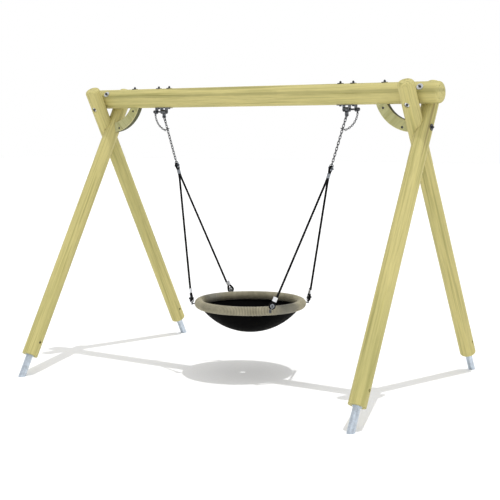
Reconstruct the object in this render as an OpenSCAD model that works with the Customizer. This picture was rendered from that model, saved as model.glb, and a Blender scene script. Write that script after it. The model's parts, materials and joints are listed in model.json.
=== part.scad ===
// Nest swing: a round timber beam on two crossed-leg frames, with two bearing hangers,
// chains and ropes that carry a rope-wound ring with a bowl-shaped basket.
// Millimetres. +X along the beam, +Z up, the ground at z = 0, the origin under the beam's middle.

/* [Overall] */
// Distance between the centres of the two leg frames
frame_spacing = 3280; // [2900:10:3500]
// Height of the beam's axis above the ground
beam_height = 2480; // [2350:10:2600]
// Distance between the front and back leg axes at the ground
foot_spread = 2474; // [2200:2:2700]

/* [Timber] */
// Diameter of the beam
beam_d = 180; // [160:2:200]
// Length of beam past each frame's centre
beam_overhang = 190; // [170:5:260]
// Diameter of the legs
leg_d = 140; // [120:2:160]
// Distance along the beam between a frame's centre and each of its leg axes
leg_offset = 32; // [26:1:40]
// Length of leg above the crossing of the two legs
leg_top = 445; // [400:5:500]
// Depth of the saddle that each leg has for the beam
saddle_depth = 11; // [8:1:25]
// Radius of the rounded end edges of the beam and the legs
timber_edge = 30; // [10:1:45]
// Thickness of the knee braces
brace_t = 60; // [50:1:70]
// Inner radius of the knee braces' arc
brace_inner_r = 256; // [240:1:275]
// Width of the knee braces from the inner to the outer arc
brace_w = 94; // [80:1:110]
// Depth of the flat seat in the inner leg for a knee brace
brace_seat = 8; // [6:1:10]

/* [Ground feet] */
// Outer diameter of the steel foot tubes
foot_d = 60; // [50:1:76]
// Wall of the foot tubes
foot_wall = 4; // [3:0.5:6]
// Length of foot tube between the ground and the timber, along the leg
foot_show = 200; // [150:5:260]
// Depth of the socket in the timber for the foot tube
foot_socket = 240; // [200:5:300]
// Distance of the foot bolt from the timber's lower end, along the leg
foot_bolt_up = 125; // [90:5:150]
// Diameter of the round plate under the timber
collar_d = 80; // [72:1:110]

/* [Fasteners] */
// Diameter of the timber bolts
bolt_d = 12; // [10:1:14]
// Diameter of the large timber washers
washer_d = 56; // [44:1:60]
// Thickness of the large timber washers
washer_t = 6; // [3:0.5:7]
// Diameter of the recesses that sink a bolt head in a leg
recess_d = 46; // [40:1:52]
// Diameter of the barrel nuts in the knee braces
barrel_d = 20; // [18:1:24]

/* [Hangers] */
// Distance between the middles of the two hangers
hanger_spacing = 1940; // [1700:10:2200]
// Distance between the two bolts of one hanger
hanger_bolt_gap = 122; // [110:1:140]
// Depth of the pivot pin's axis below the underside of the beam
pivot_drop = 38; // [34:1:60]
// Diameter of the pivot pins
pivot_d = 16; // [14:1:20]
// Radial running clearance of the bearing bushes on the pivot pins
pivot_clearance = 0.05; // [0.02:0.01:0.1]
// Depth of the swivel's eye below the pivot pin
eye_drop = 47; // [44:1:60]

/* [Chains] */
// Wire diameter of the main chain's links
link_d = 6.5; // [5:0.5:7]
// Inner length of a main chain link
link_pitch = 26; // [24:1:30]
// Inner width of a main chain link
link_w = 11; // [10:0.5:13]
// Number of links in each main chain, which is even so that both shackles face the same way
link_count = 16; // [12:2:20]
// Shortest length of a safety chain, as a multiple of the distance it spans
safety_slack = 1.03; // [1.02:0.01:1.15]
// Main chain link that the safety chain is joined to, which is even so that it lies across
safety_joint = 4; // [4:2:6]
// Wire diameter of the shackles' bows
bow_d = 9; // [8:0.5:10]

/* [Ropes] */
// Diameter of the suspension ropes
rope_d = 18; // [14:1:20]
// Inner radius of the thimbles in the rope eyes
thimble_r = 10; // [9:0.5:13]
// Distance from a thimble's centre to its ferrule, along the rope
eye_run = 42; // [38:1:50]
// Length of the twin-bore ferrules
ferrule_len = 40; // [32:1:60]

/* [Nest] */
// Outer diameter of the padded ring
nest_d = 1000; // [900:10:1100]
// Diameter of the padded ring's section, over the winding
ring_section_d = 80; // [72:1:90]
// Outer diameter of the steel tube in the ring
core_d = 42; // [34:1:48]
// Wall of the steel tube in the ring
core_wall = 3; // [2:0.5:4]
// Thickness of the rope winding on the ring
winding_t = 10; // [8:0.5:12]
// Height of the ring's centre above the ground
ring_height = 630; // [560:5:700]
// Depth of the basket's lowest point below the ring's centre
basket_depth = 254; // [220:2:300]
// Thickness of the basket's wall
basket_wall = 6; // [4:0.5:8]
// Diameter of the drain hole in the basket's lowest point
drain_d = 50; // [20:2:70]
// Angle of the rope fixings round the ring, from the beam's direction
fixing_angle = 38; // [34:1:44]

/* [Hidden] */

$fn = 64;
timber_color = [0.80, 0.76, 0.46];
steel_color = [0.72, 0.76, 0.80];
dark_steel_color = [0.42, 0.44, 0.48];
rope_color = [0.07, 0.07, 0.08];
gap = 0.3;            // air between pieces that don't press on each other
hole_play = 0.5;      // radial play of a bolt in a timber hole
thread_play = 0.05;   // radial play of a bolt in its nut

// Timber frame
frame_x = frame_spacing / 2;
beam_r = beam_d / 2;
leg_r = leg_d / 2;
half_spread = foot_spread / 2;
beam_to_leg = beam_r + leg_r - saddle_depth;
lean = atan2(half_spread, beam_height)
    + asin(beam_to_leg / norm([half_spread, beam_height]));
cross_z = half_spread / tan(lean);
saddle_run = (beam_height - cross_z) * cos(lean);
ground_run = cross_z / cos(lean);
timber_run = ground_run - foot_show;
beam_half = frame_x + beam_overhang;
beam_top_z = beam_height + beam_r;
beam_under_z = beam_height - beam_r;
outer_leg_x = frame_x + leg_offset;
inner_leg_x = frame_x - leg_offset;
brace_face_x = inner_leg_x - leg_r + brace_seat;
brace_cx = brace_face_x + 39;
brace_up = 120;       // how far the braces' centre is above the beam's underside
brace_cz = beam_under_z + brace_up;
brace_end = brace_up - 10; // how far below their centre the braces end, against the beam
brace_outer_r = brace_inner_r + brace_w;
brace_mid_r = brace_inner_r + brace_w / 2;

// Fasteners
hole_r = bolt_d / 2 + hole_play;
nut_h = 0.85 * bolt_d;
spot_depth = 2;
spot_r = washer_d / 2 + 1;
recess_depth = 20;
saddle_recess = 14;    // depth of the recess for a saddle bolt's head
head_washer_t = 3;
foot_recess_d = 26;
collar_t = 6;
socket_play = 5;      // how much deeper a foot's socket is than the tube in it
weld = 1;             // how far welded pieces run into each other
crossing_up = 22;     // how far the crossing bolt is above the point where the legs cross
crossing_z = cross_z + crossing_up;
bolt_past_barrel = 5;
barrel_len = brace_t - 12;
barrel_low_x = brace_cx - 90;
barrel_drop = 150;    // how far the upper barrel nuts are below the braces' centre
barrel_top_x = brace_cx - sqrt(pow(brace_mid_r, 2) - pow(barrel_drop, 2));
barrel_top_z = brace_cz - barrel_drop;

// Hangers
hanger_x = hanger_spacing / 2;
plate_seat = 3;
plate_t = 8;
plate_w = 44;
plate_top_z = beam_under_z + plate_seat;
plate_under_z = plate_top_z - plate_t;
pivot_z = beam_under_z - pivot_drop;
cheek_t = 8;
swivel_len = 44;
cheek_gap = swivel_len + 2;
swivel_r = pivot_d / 2 + 12;
eye_z = pivot_z - eye_drop;
eye_r = 15;
tongue_t = 12;
bush_wall = 3;
plate_in = 86;
lug_x = 82;
pin_head_t = 6;
pin_out = 122;
hanger_bow_w = 15;
hanger_bow_pin_r = 5.5;
eye_hole_r = hanger_bow_pin_r + 1;

// The hanging line of the chain and ropes, seen along Y, and the places along it
bow_in = 32;
thimble_wall = 2.5;
thimble_w = rope_d + 2;
link_step = link_pitch - gap;
first_link = bow_in - gap + link_pitch / 2;
last_link_end = first_link + (link_count - 1) * link_step + link_pitch / 2;
apex_pin_r = 5;
apex_bow_w = thimble_w + 6;
// The apex shackles hold the rope eye and the last link clear of each other
apex_bow_in = apex_pin_r + 5 * gap + thimble_wall + rope_d + link_d + 1;
apex_pin_run = last_link_end - gap + apex_bow_in;
apex_hole_run = apex_pin_run + thimble_r - apex_pin_r - 5 * gap;
apex_ferrule_run = apex_hole_run + eye_run;
apex_end_run = apex_ferrule_run + ferrule_len;
ring_r = (nest_d - ring_section_d) / 2;
section_r = ring_section_d / 2;
fixing_r = nest_d / 2 + 24;
fixing_z = ring_height + 12;
fixing = [fixing_r * cos(fixing_angle), fixing_r * sin(fixing_angle), fixing_z];
hang_lean = atan2(hanger_x - fixing.x, eye_z - fixing.z);

// The safety chain hangs slack on an arc from its eye on the pivot pin to the main chain
safety_x = 100;
safety_eye_t = 5;
safety_eye_r = 11;
safety_eye_wall = 7;
safety_hole_r = 5.5;
safety_eye_drop = 26;
safety_link_d = 5;
safety_pitch = 19;
safety_w = 9;
safety_step = safety_pitch - 4 * gap;
joint_run = first_link + (safety_joint - 1) * link_step;
joiner_d = 5;
joiner_w = link_w + 2 * link_d + 2;
joiner_back = link_d / 2;
joiner_reach = 24;
joiner_low = -joiner_back - joiner_w / 2;
joiner_wire = joiner_reach + joiner_d / 2;
safety_top = [hanger_x + safety_x + safety_eye_t / 2, pivot_z - safety_eye_drop - safety_hole_r];
joiner_end = [
    hanger_x - joint_run * sin(hang_lean) + joiner_wire * cos(hang_lean),
    eye_z - joint_run * cos(hang_lean) - joiner_wire * sin(hang_lean)
];
safety_low = joiner_end
    + (joiner_d / 2 + 3 * gap) * (joiner_end - safety_top) / norm(joiner_end - safety_top);
safety_chord = norm(safety_top - safety_low);
// The end links lie in the same plane, so the count is odd
safety_count = 2 * ceil((safety_slack * safety_chord / safety_step - 1) / 2) + 1;
safety_len = safety_count * safety_step;
// Half of the angle that the arc turns through, from its series in the slack
safety_half = sqrt(6 * (1 - safety_chord / safety_len)) * 180 / PI;
safety_arc_r = safety_len / (2 * safety_half * PI / 180);
safety_dir = atan2(safety_low.y - safety_top.y, safety_low.x - safety_top.x);

// Ropes and their eyes
rope_r = rope_d / 2;
eye_bend_r = thimble_r + thimble_wall + rope_r;
ferrule_bore = rope_r + thread_play;
strand_y = ferrule_bore + 0.2;
ferrule_wall = 2;
apex_end = [hanger_x - apex_end_run * sin(hang_lean), strand_y, eye_z - apex_end_run * cos(hang_lean)];
small_bow_d = 8;
small_bow_w = thimble_w + 2;
small_pin_r = 5;
lug_t = 6;
lug_r = 11;
// The rope eye stays clear of the lug
small_pin_run = lug_r + 1 + small_pin_r + 2 * gap + thimble_wall + rope_d;
ring_hole_run = small_pin_run - small_pin_r - 2 * gap + thimble_r;
ring_ferrule_run = ring_hole_run + eye_run;
rope_way = apex_end - fixing;
rope_tip = acos(rope_way.z / norm(rope_way));
rope_turn = atan2(rope_way.y, rope_way.x);

// Nest
stud_r = 6;
padding_r = section_r - winding_t;
core_r = core_d / 2;
basket_rim_r = ring_r - 12;
basket_rim_z = ring_height - section_r + 8;
basket_floor_z = ring_height - basket_depth;
basket_rise = basket_rim_z - basket_floor_z;
basket_ball_r = (pow(basket_rim_r, 2) + pow(basket_rise, 2)) / (2 * basket_rise);

// ---------- placing ----------

// Both leg frames are the same; the left one is turned half round about Z
module both_frames() {
    for (turn = [0, 180]) rotate([0, 0, turn]) children();
}

// Both hangers are mirror images
module both_sides() {
    for (side = [0, 1]) mirror([side, 0, 0]) children();
}

module four_corners() {
    both_sides() for (end = [0, 1]) mirror([0, end, 0]) children();
}

// A leg's own frame: origin where the two legs cross, +Z up the leg.
// run is -1 for the outer leg, whose foot is at the front, and 1 for the inner leg
module at_leg(run) {
    translate([frame_x - run * leg_offset, 0, cross_z]) rotate([run * lean, 0, 0]) children();
}

module both_legs() {
    for (run = [-1, 1]) at_leg(run) children();
}

// Along a leg's beam bolt: origin on the leg's axis, +Z towards the beam
module at_saddle_bolt(run) {
    at_leg(run) translate([0, 0, saddle_run]) rotate([-90 * run, 0, 0]) children();
}

module at_foot_bolt() {
    translate([0, 0, -timber_run + foot_bolt_up]) rotate([0, 90, 0]) children();
}

// Along the right chain: origin at a distance below the swivel's eye, +Z up the chain
module on_chain(run) {
    translate([hanger_x, 0, eye_z]) rotate([0, hang_lean, 0]) translate([0, 0, -run]) children();
}

// A rope fixing on the ring: +Z up the rope, +Y level and outwards
module at_fixing(run) {
    translate(fixing) rotate([0, rope_tip, rope_turn]) translate([0, 0, run]) children();
}

// ---------- shared shapes ----------

// Round timber with rounded edges at the ends that are asked for
module timber(r, len, low_edge, high_edge) {
    rotate_extrude($fn = 96) intersection() {
        square([r, len]);
        union() {
            translate([0, low_edge]) square([r, len - low_edge - high_edge]);
            square([r - low_edge, len - high_edge]);
            translate([0, low_edge]) square([r - high_edge, len - low_edge]);
            if (low_edge > 0) translate([r - low_edge, low_edge]) circle(low_edge);
            translate([r - high_edge, len - high_edge]) circle(high_edge);
        }
    }
}

module hex(flat, h) {
    cylinder(d = flat / cos(30), h = h, $fn = 6);
}

module ring_plate(outer_r, inner_r, t) {
    difference() {
        cylinder(r = outer_r, h = t);
        translate([0, 0, -1]) cylinder(r = inner_r, h = t + 2);
    }
}

// Open nut with its seat at z = 0
module nut(d) {
    difference() {
        hex(1.6 * d, 0.85 * d);
        translate([0, 0, -1]) cylinder(r = d / 2 + thread_play, h = d + 2);
    }
}

// Domed nut with its seat at z = 0
module cap_nut(d) {
    difference() {
        union() {
            hex(1.6 * d, 0.85 * d);
            translate([0, 0, 0.85 * d]) intersection() {
                sphere(r = 0.75 * d);
                translate([-d, -d, 0]) cube([2 * d, 2 * d, d]);
            }
        }
        translate([0, 0, -1]) cylinder(r = d / 2 + thread_play, h = 1.3 * d + 1);
    }
}

// Bolt with the underside of its head at z = 0 and its shank along +Z
module bolt(d, len) {
    translate([0, 0, -0.65 * d]) hex(1.6 * d, 0.65 * d);
    translate([0, 0, -0.01]) cylinder(r = d / 2, h = len + 0.01);
}

// Chain link, centred, lying in the XZ plane with its length along Z
module link(d, pitch, inner_w) {
    bend_r = (inner_w + d) / 2;
    straight = pitch - inner_w;
    for (side = [-1, 1])
        translate([side * bend_r, 0, -straight / 2]) cylinder(r = d / 2, h = straight, $fn = 24);
    for (up = [0, 1])
        mirror([0, 0, up]) translate([0, 0, straight / 2]) rotate([90, 0, 0])
            rotate_extrude(angle = 180, $fn = 48) translate([bend_r, 0]) circle(d / 2, $fn = 24);
}

// Shackle bow in the XZ plane: ears with holes at z = 0, crown upwards, inside height "tall"
module bow(d, inner_w, tall, pin_r) {
    bend_r = (inner_w + d) / 2;
    straight = tall - inner_w / 2;
    difference() {
        union() {
            for (side = [-1, 1]) {
                translate([side * bend_r, 0, 0]) cylinder(r = d / 2, h = straight, $fn = 32);
                translate([side * bend_r - 0.6 * d, 0, 0]) rotate([0, 90, 0])
                    cylinder(r = d, h = 1.2 * d);
            }
            translate([0, 0, straight]) rotate([90, 0, 0])
                rotate_extrude(angle = 180, $fn = 64) translate([bend_r, 0]) circle(d / 2, $fn = 32);
        }
        rotate([0, 90, 0]) cylinder(r = pin_r + thread_play, h = 4 * inner_w, center = true);
    }
}

// Shackle pin along X with a round head at one end
module bow_pin(d, inner_w, pin_r) {
    reach = inner_w / 2 + 1.1 * d;
    translate([-reach - 2, 0, 0]) rotate([0, 90, 0]) cylinder(r = pin_r, h = 2 * reach + 2 + gap);
    translate([reach + gap - 0.01, 0, 0]) rotate([0, 90, 0]) cylinder(r = 1.5 * pin_r, h = 4);
}

// Grooved ring that lines a rope eye, with its hole along X
module thimble() {
    rotate([0, 90, 0]) rotate_extrude() difference() {
        translate([thimble_r, -thimble_w / 2]) square([thimble_wall + rope_r * 0.7, thimble_w]);
        translate([eye_bend_r + gap, 0]) circle(rope_r + gap);
    }
}

// Points of a rope eye in the YZ plane: from the ferrule's middle, round the thimble, and back.
// The thimble is at the origin and the ferrule is above it.
function eye_turn_points() = [for (a = [-30 : 15 : 210]) [0, eye_bend_r * cos(a), -eye_bend_r * sin(a)]];

function eye_leg(side) = [
    for (t = [0 : 0.2 : 0.8]) let (
        start_y = eye_bend_r * cos(30),
        start_z = eye_bend_r * sin(30),
        blend = t * t * (3 - 2 * t)
    ) [0, side * (strand_y + (start_y - strand_y) * blend), eye_run + (start_z - eye_run) * t]
];

function eye_points() = concat(
    [[0, strand_y, eye_run + ferrule_len / 2]],
    eye_leg(1),
    eye_turn_points(),
    [for (i = [4 : -1 : 0]) eye_leg(-1)[i]],
    [[0, -strand_y, eye_run + ferrule_len / 2]]
);

function way(path, i) = let (
    last = len(path) - 1,
    step = path[min(i + 1, last)] - path[max(i - 1, 0)]
) step / norm(step);

// Round rope along a flat route whose plane has the given normal
module rope(path, normal, r, sides = 12) {
    rings = [
        for (i = [0 : len(path) - 1]) let (across = cross(way(path, i), normal))
            for (k = [0 : sides - 1]) path[i] + r * (cos(360 * k / sides) * normal
                + sin(360 * k / sides) * across)
    ];
    last = (len(path) - 1) * sides;
    skin = [
        for (i = [0 : len(path) - 2])
            for (k = [0 : sides - 1]) let (a = i * sides + k, b = i * sides + (k + 1) % sides)
                [a, b, b + sides, a + sides]
    ];
    low_end = [[for (k = [sides - 1 : -1 : 0]) k]];
    high_end = [[for (k = [0 : sides - 1]) last + k]];
    polyhedron(rings, concat(skin, low_end, high_end));
}

// Twin-bore ferrule round two rope strands side by side along Y, from z = 0 up
module ferrule() {
    outer_r = rope_r + ferrule_wall;
    difference() {
        union() {
            for (side = [-1, 1]) translate([0, side * strand_y, 0]) cylinder(r = outer_r, h = ferrule_len);
            translate([-outer_r, -strand_y, 0]) cube([2 * outer_r, 2 * strand_y, ferrule_len]);
        }
        for (side = [-1, 1])
            translate([0, side * strand_y, -1]) cylinder(r = ferrule_bore, h = ferrule_len + 2);
    }
}

// ---------- timber frame ----------

module saddle_bolt_hole(run) {
    at_saddle_bolt(run) translate([0, 0, -leg_r - 1])
        cylinder(r = hole_r, h = leg_r + beam_to_leg + beam_r + 2);
}

module beam() {
    color(timber_color) difference() {
        translate([-beam_half, 0, beam_height]) rotate([0, 90, 0])
            timber(beam_r, 2 * beam_half, timber_edge, timber_edge);
        both_frames() {
            for (run = [-1, 1]) {
                saddle_bolt_hole(run);
                at_saddle_bolt(run) translate([0, 0, beam_to_leg + beam_r - spot_depth])
                    cylinder(r = spot_r, h = recess_depth);
            }
            translate([barrel_top_x, 0, beam_height - beam_r - 1]) cylinder(r = hole_r, h = beam_d + 2);
            translate([barrel_top_x, 0, beam_top_z - spot_depth]) cylinder(r = spot_r, h = recess_depth);
        }
        both_sides() {
            for (end = [-1, 1]) translate([hanger_x + end * hanger_bolt_gap / 2, 0, 0]) {
                translate([0, 0, beam_under_z - 1]) cylinder(r = hole_r, h = beam_d + 2);
                translate([0, 0, beam_top_z - spot_depth]) cylinder(r = spot_r, h = recess_depth);
            }
            translate([hanger_x - plate_in - 1, -plate_w, plate_top_z - beam_r])
                cube([plate_in + lug_x + cheek_t + 2, 2 * plate_w, beam_r]);
        }
    }
}

// The part of the other leg's band that this leg gives up at the crossing
module lap_cut(run) {
    start = run < 0 ? -leg_d : -leg_offset;
    at_leg(-run) translate([start, -leg_r - gap, -2 * leg_d])
        cube([leg_d + leg_offset, leg_d + 2 * gap, 4 * leg_d]);
}

module leg(run) {
    color(timber_color) difference() {
        at_leg(run) difference() {
            translate([0, 0, -timber_run]) timber(leg_r, timber_run + leg_top, 0, timber_edge);
            translate([0, 0, -timber_run - 1]) cylinder(r = foot_d / 2 + hole_play, h = foot_socket + 1);
            at_foot_bolt() {
                cylinder(r = hole_r, h = 2 * leg_d, center = true);
                for (end = [0, 1]) mirror([0, 0, end]) translate([0, 0, leg_r - recess_depth])
                    cylinder(d = foot_recess_d, h = leg_d);
            }
        }
        lap_cut(run);
        translate([frame_x - leg_d, 0, beam_height]) rotate([0, 90, 0])
            cylinder(r = beam_r + gap, h = 2 * leg_d, $fn = 96);
        saddle_bolt_hole(run);
        at_saddle_bolt(run) translate([0, 0, -leg_r - 1]) cylinder(d = recess_d, h = saddle_recess + 1);
        translate([0, 0, crossing_z]) rotate([0, 90, 0]) cylinder(r = hole_r, h = 2 * frame_x);
        translate([outer_leg_x + leg_r - 2 * spot_depth, 0, crossing_z]) rotate([0, 90, 0])
            cylinder(r = spot_r, h = 2 * recess_depth);
        translate([brace_face_x - leg_d, -brace_t / 2 - gap, brace_cz - brace_outer_r - gap])
            cube([leg_d, brace_t + 2 * gap, brace_w + brace_seat]);
    }
}

// Steel foot: a tube cut level at the ground and closed there, with a round plate under the timber
module foot(run) {
    color(steel_color) intersection() {
        union() {
            at_leg(run) difference() {
                translate([0, 0, -ground_run - foot_d])
                    cylinder(d = foot_d, h = foot_d + foot_show + foot_socket - socket_play);
                translate([0, 0, -ground_run - foot_d - 1])
                    cylinder(r = foot_d / 2 - foot_wall, h = foot_d + foot_show + foot_socket);
                at_foot_bolt() cylinder(r = hole_r, h = leg_d, center = true);
            }
            at_leg(run) translate([0, 0, -timber_run - collar_t - gap])
                ring_plate(collar_d / 2, foot_d / 2 - weld, collar_t);
            intersection() {
                at_leg(run) translate([0, 0, -ground_run - foot_d])
                    cylinder(r = foot_d / 2 - foot_wall + weld, h = 3 * foot_d);
                translate([0, -2 * foot_spread, 0]) cube([2 * frame_spacing, 4 * foot_spread, collar_t]);
            }
        }
        translate([0, -2 * foot_spread, 0])
            cube([2 * frame_spacing, 4 * foot_spread, beam_height]);
    }
}

module foot_bolts() {
    seat = leg_r - recess_depth;
    color(steel_color) both_frames() both_legs() at_foot_bolt()
        translate([0, 0, -seat]) bolt(bolt_d, 2 * seat + nut_h);
}

module foot_nuts() {
    color(steel_color) both_frames() both_legs() at_foot_bolt()
        translate([0, 0, leg_r - recess_depth]) nut(bolt_d);
}

module brace() {
    color(timber_color) difference() {
        intersection() {
            translate([brace_cx, 0, brace_cz]) rotate([90, 0, 0]) rotate_extrude($fn = 128)
                brace_section();
            translate([brace_cx - brace_outer_r - 1, -brace_t, brace_cz - brace_outer_r - 1])
                cube([brace_face_x - brace_cx + brace_outer_r + 1, 2 * brace_t, brace_outer_r - brace_end]);
        }
        translate([0, 0, beam_height]) rotate([0, 90, 0])
            cylinder(r = beam_r + gap, h = frame_spacing, $fn = 96);
        translate([barrel_top_x, 0, barrel_top_z]) rotate([90, 0, 0])
            cylinder(r = barrel_d / 2 + hole_play, h = 2 * brace_t, center = true);
        translate([barrel_low_x, 0, crossing_z]) rotate([90, 0, 0])
            cylinder(r = barrel_d / 2 + hole_play, h = 2 * brace_t, center = true);
        translate([barrel_top_x, 0, barrel_top_z - barrel_d]) cylinder(r = hole_r, h = beam_d);
        translate([barrel_low_x - barrel_d, 0, crossing_z]) rotate([0, 90, 0])
            cylinder(r = hole_r, h = leg_d);
    }
}

// Section of a knee brace with its edges chamfered
module brace_section() {
    chamfer = 5;
    half = brace_t / 2;
    polygon([
        [brace_inner_r, -half + chamfer], [brace_inner_r + chamfer, -half],
        [brace_outer_r - chamfer, -half], [brace_outer_r, -half + chamfer],
        [brace_outer_r, half - chamfer], [brace_outer_r - chamfer, half],
        [brace_inner_r + chamfer, half], [brace_inner_r, half - chamfer]
    ]);
}

// ---------- frame fasteners ----------

module each_saddle_bolt() {
    both_frames() for (run = [-1, 1]) at_saddle_bolt(run) children();
}

module saddle_bolts() {
    seat = -leg_r + saddle_recess - head_washer_t;
    color(dark_steel_color) each_saddle_bolt() translate([0, 0, seat])
        bolt(bolt_d, beam_to_leg + beam_r - spot_depth + washer_t + nut_h - seat);
}

module saddle_head_washers() {
    color(steel_color) each_saddle_bolt() translate([0, 0, -leg_r + saddle_recess - head_washer_t])
        ring_plate(recess_d / 2 - 1, hole_r, head_washer_t);
}

module saddle_washers() {
    color(steel_color) each_saddle_bolt() translate([0, 0, beam_to_leg + beam_r - spot_depth])
        ring_plate(washer_d / 2, hole_r, washer_t);
}

module saddle_nuts() {
    color(dark_steel_color) each_saddle_bolt()
        translate([0, 0, beam_to_leg + beam_r - spot_depth + washer_t]) cap_nut(bolt_d);
}

// Crossing bolts run inwards from the outer leg to the barrel nut in the knee brace
module at_crossing_seat() {
    both_frames() translate([outer_leg_x + leg_r - 2 * spot_depth, 0, crossing_z]) rotate([0, -90, 0])
        children();
}

module crossing_bolts() {
    into_frame = outer_leg_x + leg_r - 2 * spot_depth - barrel_low_x + bolt_past_barrel;
    color(dark_steel_color) at_crossing_seat() translate([0, 0, -washer_t - nut_h])
        cylinder(r = bolt_d / 2, h = nut_h + washer_t + into_frame);
}

module crossing_washers() {
    color(steel_color) at_crossing_seat() translate([0, 0, -washer_t])
        ring_plate(washer_d / 2, hole_r, washer_t);
}

module brace_bolts() {
    start = barrel_top_z - bolt_past_barrel;
    color(dark_steel_color) both_frames() translate([barrel_top_x, 0, start])
        cylinder(r = bolt_d / 2, h = beam_top_z - spot_depth + washer_t + nut_h - start);
}

// Domed nuts on the outer ends of the bolts that hold the braces
module brace_nuts() {
    color(dark_steel_color) {
        both_frames() translate([barrel_top_x, 0, beam_top_z - spot_depth + washer_t]) cap_nut(bolt_d);
        at_crossing_seat() translate([0, 0, -washer_t]) mirror([0, 0, 1]) cap_nut(bolt_d);
    }
}

module brace_washers() {
    color(steel_color) both_frames() translate([barrel_top_x, 0, beam_top_z - spot_depth])
        ring_plate(washer_d / 2, hole_r, washer_t);
}

// Barrel nuts cross the braces; each is threaded on the bolt that meets it
module barrel_nuts() {
    color(dark_steel_color) both_frames() {
        translate([barrel_top_x, 0, barrel_top_z]) difference() {
            rotate([90, 0, 0]) cylinder(d = barrel_d, h = barrel_len, center = true);
            cylinder(r = bolt_d / 2 + thread_play, h = 2 * barrel_d, center = true);
        }
        translate([barrel_low_x, 0, crossing_z]) difference() {
            rotate([90, 0, 0]) cylinder(d = barrel_d, h = barrel_len, center = true);
            rotate([0, 90, 0]) cylinder(r = bolt_d / 2 + thread_play, h = 2 * barrel_d, center = true);
        }
    }
}

// ---------- hangers ----------

module each_hanger_bolt() {
    for (end = [-1, 1]) translate([hanger_x + end * hanger_bolt_gap / 2, 0, 0]) children();
}

// Plate with two cheeks for the bearing and an outer lug that steadies the pin
module bracket() {
    color(dark_steel_color) difference() {
        union() {
            translate([hanger_x - plate_in, -plate_w / 2, plate_under_z])
                cube([plate_in + lug_x + cheek_t, plate_w, plate_t]);
            for (x = [-cheek_gap / 2 - cheek_t, cheek_gap / 2, lug_x]) translate([hanger_x + x, 0, 0]) {
                translate([0, 0, pivot_z]) rotate([0, 90, 0]) cylinder(r = swivel_r, h = cheek_t);
                translate([0, -swivel_r, pivot_z]) cube([cheek_t, 2 * swivel_r, plate_under_z - pivot_z + 1]);
            }
        }
        each_hanger_bolt() translate([0, 0, plate_under_z - 1]) cylinder(r = hole_r, h = plate_t + 2);
        translate([hanger_x - cheek_gap, 0, pivot_z]) rotate([0, 90, 0])
            cylinder(r = pivot_d / 2 + thread_play, h = 4 * cheek_gap);
    }
}

module hanger_bolts() {
    color(dark_steel_color) both_sides() each_hanger_bolt() translate([0, 0, plate_under_z])
        bolt(bolt_d, beam_top_z - spot_depth + washer_t + nut_h - plate_under_z);
}

module hanger_washers() {
    color(dark_steel_color) both_sides() each_hanger_bolt() translate([0, 0, beam_top_z - spot_depth])
        ring_plate(washer_d / 2, hole_r, washer_t);
}

module hanger_nuts() {
    color(dark_steel_color) both_sides() each_hanger_bolt()
        translate([0, 0, beam_top_z - spot_depth + washer_t]) cap_nut(bolt_d);
}

module pivot_pins() {
    start = cheek_gap / 2 + cheek_t;
    color(steel_color) both_sides() translate([hanger_x - start, 0, pivot_z]) rotate([0, 90, 0]) {
        translate([0, 0, -pin_head_t]) cylinder(r = 0.75 * pivot_d, h = pin_head_t);
        translate([0, 0, -0.01]) cylinder(r = pivot_d / 2, h = start + pin_out);
    }
}

module pivot_nuts() {
    color(steel_color) both_sides() translate([hanger_x + safety_x + safety_eye_t + 1, 0, pivot_z])
        rotate([0, 90, 0]) nut(pivot_d);
}

// Bearing barrel with the tongue that carries the shackle
module swivel() {
    color(dark_steel_color) difference() {
        union() {
            translate([hanger_x - swivel_len / 2, 0, pivot_z]) rotate([0, 90, 0])
                cylinder(r = swivel_r, h = swivel_len);
            translate([hanger_x - eye_r, -tongue_t / 2, eye_z]) cube([2 * eye_r, tongue_t, eye_drop]);
            translate([hanger_x, tongue_t / 2, eye_z]) rotate([90, 0, 0]) cylinder(r = eye_r, h = tongue_t);
        }
        translate([hanger_x - swivel_len, 0, pivot_z]) rotate([0, 90, 0])
            cylinder(r = pivot_d / 2 + bush_wall, h = 2 * swivel_len);
        translate([hanger_x, 0, eye_z]) rotate([90, 0, 0])
            cylinder(r = eye_hole_r, h = 2 * tongue_t, center = true);
    }
}

module swivel_bushes() {
    color("white") both_sides() translate([hanger_x - swivel_len / 2, 0, pivot_z]) rotate([0, 90, 0])
        ring_plate(pivot_d / 2 + bush_wall, pivot_d / 2 + pivot_clearance, swivel_len);
}

module hanger_shackles() {
    color(dark_steel_color) both_sides() on_chain(0) rotate([180, 0, 90])
        bow(bow_d, hanger_bow_w, bow_in, hanger_bow_pin_r);
}

module hanger_shackle_pins() {
    color(steel_color) both_sides() on_chain(0) rotate([180, 0, 90])
        bow_pin(bow_d, hanger_bow_w, hanger_bow_pin_r);
}

// ---------- chains ----------

module chain() {
    color(steel_color) for (i = [0 : link_count - 1])
        on_chain(first_link + i * link_step) rotate([0, 0, 90 * (i % 2)])
            link(link_d, link_pitch, link_w);
}

// A place along the safety chain's arc, t from 0 at its top to 1, as [x, z]
function safety_point(t) = let (
    a = safety_half * (2 * t - 1),
    along = safety_chord / 2 + safety_arc_r * sin(a),
    out = safety_arc_r * (cos(a) - cos(safety_half))
) safety_top + along * [cos(safety_dir), sin(safety_dir)] - out * [sin(safety_dir), -cos(safety_dir)];

module safety_chain() {
    color(steel_color) for (i = [0 : safety_count - 1]) {
        t = (i + 0.5) / safety_count;
        p = safety_point(t);
        heading = safety_dir - safety_half * (2 * t - 1);
        translate([p.x, 0, p.y]) rotate([0, 90 - heading, 0]) rotate([0, 0, 90 * (i % 2)])
            link(safety_link_d, safety_pitch, safety_w);
    }
}

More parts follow.
